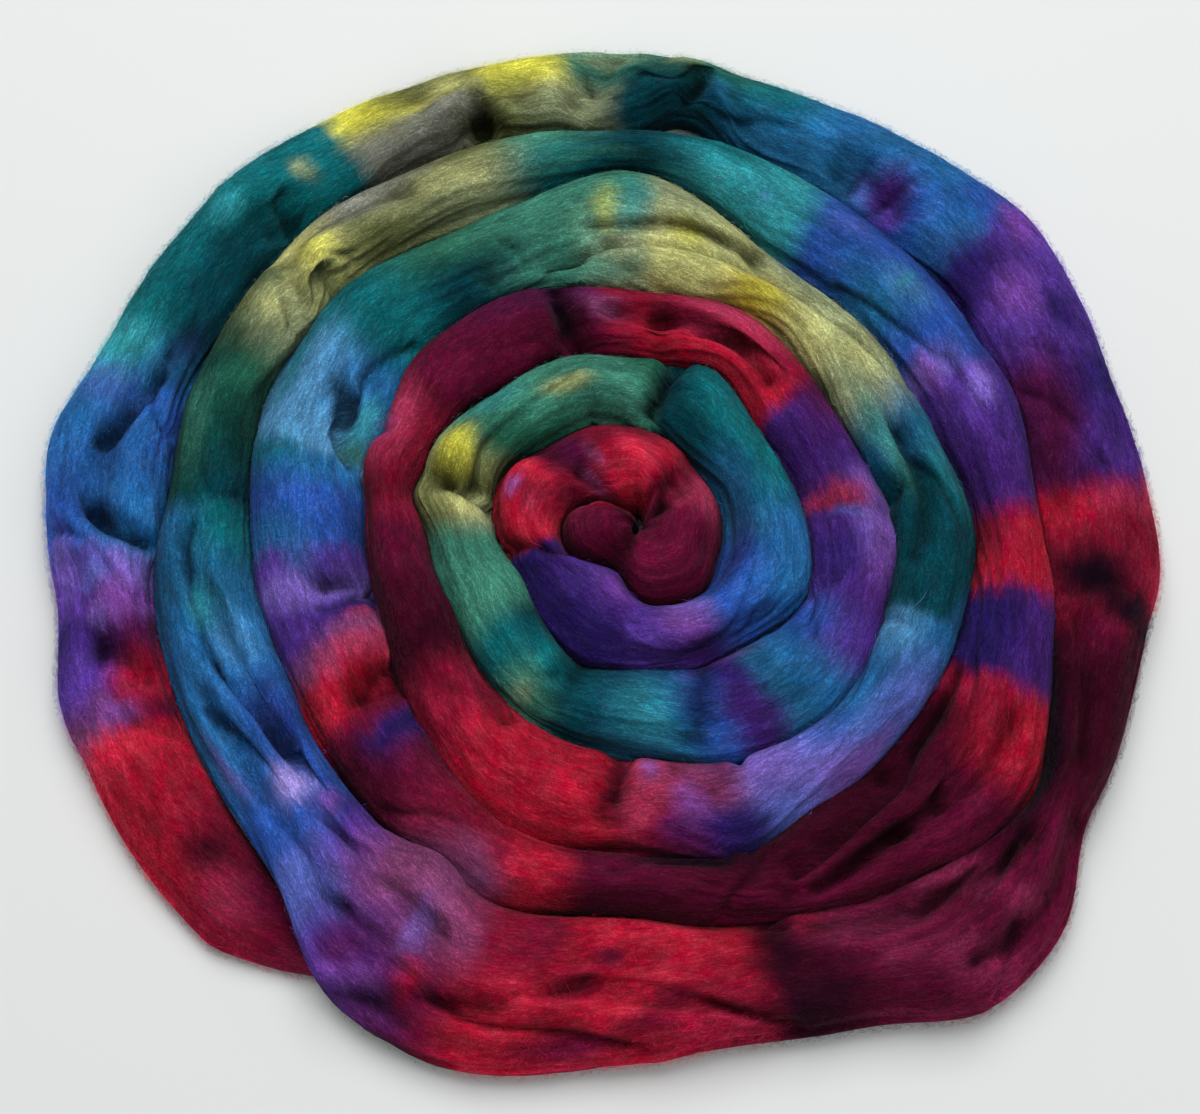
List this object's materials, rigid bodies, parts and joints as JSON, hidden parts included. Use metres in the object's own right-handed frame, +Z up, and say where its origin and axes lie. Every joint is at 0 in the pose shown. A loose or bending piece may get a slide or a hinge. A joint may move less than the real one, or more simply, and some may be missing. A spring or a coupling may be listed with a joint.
{
  "type": "wool roving coil",
  "caption": "Flat coil of combed wool roving dyed in blended bands of teal, blue, violet, maroon, red and olive.",
  "frame": {"origin": "centre of the coil's bounding box in plan, on the surface it lies on", "axes": "+X to the right and +Y to the back as in the picture, +Z up out of the surface"},
  "size_m": [0.5256, 0.507, 0.0447],
  "materials": {
    "wool": "matte fibre"
  },
  "bodies": {
    "root": {"roving_coil": "wool"}
  },
  "joints": []
}
